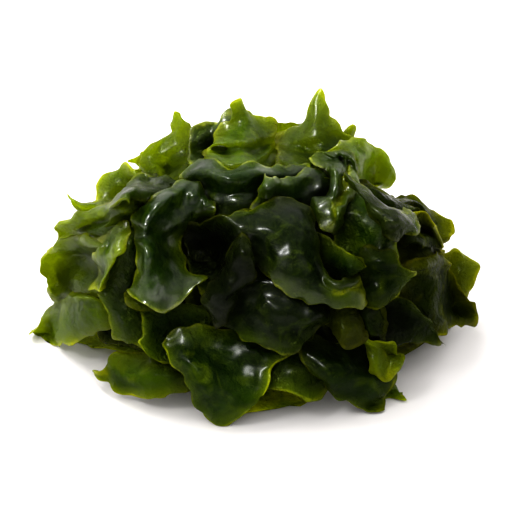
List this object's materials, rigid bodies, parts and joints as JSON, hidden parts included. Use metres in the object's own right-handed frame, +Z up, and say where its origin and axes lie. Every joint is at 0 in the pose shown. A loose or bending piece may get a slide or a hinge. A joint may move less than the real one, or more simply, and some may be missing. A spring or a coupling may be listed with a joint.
{
  "type": "heap of wet seaweed",
  "caption": "Low round heap of wet green seaweed: thin, glossy, ruffled leaf pieces folded and lying over each other.",
  "frame": {"origin": "on the surface that the heap lies on, under the middle of its bounding box", "axes": "+X along the heap's length, to the viewer's right; +Y away from the picture's viewer; +Z up"},
  "size_m": [0.1106, 0.0848, 0.0556],
  "materials": {
    "wet_dark_green": "wet, dark green",
    "wet_green": "wet, mid green",
    "wet_yellow_green": "wet, thin and light, yellow green",
    "wet_olive": "wet, olive green"
  },
  "bodies": {
    "root": {"floor_blade_left": "wet_yellow_green", "floor_blade_front": "wet_yellow_green", "floor_blade_right": "wet_olive", "inner_blade_left": "wet_dark_green", "inner_blade_top": "wet_dark_green", "inner_blade_right": "wet_dark_green", "inner_blade_front": "wet_dark_green", "back_horn": "wet_yellow_green", "back_nib": "wet_yellow_green", "thumb_blade": "wet_yellow_green", "back_grey_blade": "wet_dark_green", "tall_back_blade": "wet_yellow_green", "right_back_blade": "wet_yellow_green", "right_back_lobe": "wet_yellow_green", "upper_left_lobe": "wet_yellow_green", "left_notched_leaf": "wet_yellow_green", "left_horn_leaf": "wet_yellow_green", "left_long_leaf": "wet_yellow_green", "left_sheen_blade": "wet_green", "left_cup_blade": "wet_yellow_green", "left_pointed_leaf": "wet_yellow_green", "left_standing_blade": "wet_green", "speckled_leaf": "wet_yellow_green", "bottom_left_leaf": "wet_yellow_green", "front_left_blade": "wet_green", "top_grey_blade": "wet_dark_green", "top_folded_blade": "wet_dark_green", "right_far_leaf": "wet_olive", "right_dark_strip": "wet_dark_green", "right_hollow_leaf": "wet_olive", "right_small_leaf": "wet_olive", "right_big_leaf": "wet_olive", "front_right_flap": "wet_green", "low_right_tail": "wet_green", "right_front_plate": "wet_dark_green", "pale_fold_blade": "wet_green", "low_right_blade": "wet_green", "holed_lobe": "wet_yellow_green", "olive_leaf": "wet_olive", "right_green_blade": "wet_green", "right_lower_blade": "wet_green", "right_inner_leaf": "wet_green", "right_fold_blade": "wet_green", "right_tongue_leaf": "wet_dark_green", "hood_wall": "wet_dark_green", "curl_under_glossy": "wet_yellow_green", "glossy_blade": "wet_dark_green", "front_lobe": "wet_green", "middle_disc": "wet_dark_green", "hood_blade": "wet_dark_green", "narrow_leaf": "wet_dark_green", "far_top_leaf": "wet_dark_green", "far_low_leaf_1": "wet_green", "far_low_leaf_2": "wet_yellow_green", "far_low_leaf_3": "wet_green", "far_low_leaf_4": "wet_olive", "far_low_leaf_5": "wet_dark_green", "far_low_leaf_6": "wet_green", "far_mid_leaf_1": "wet_yellow_green", "far_mid_leaf_2": "wet_green"}
  },
  "joints": []
}
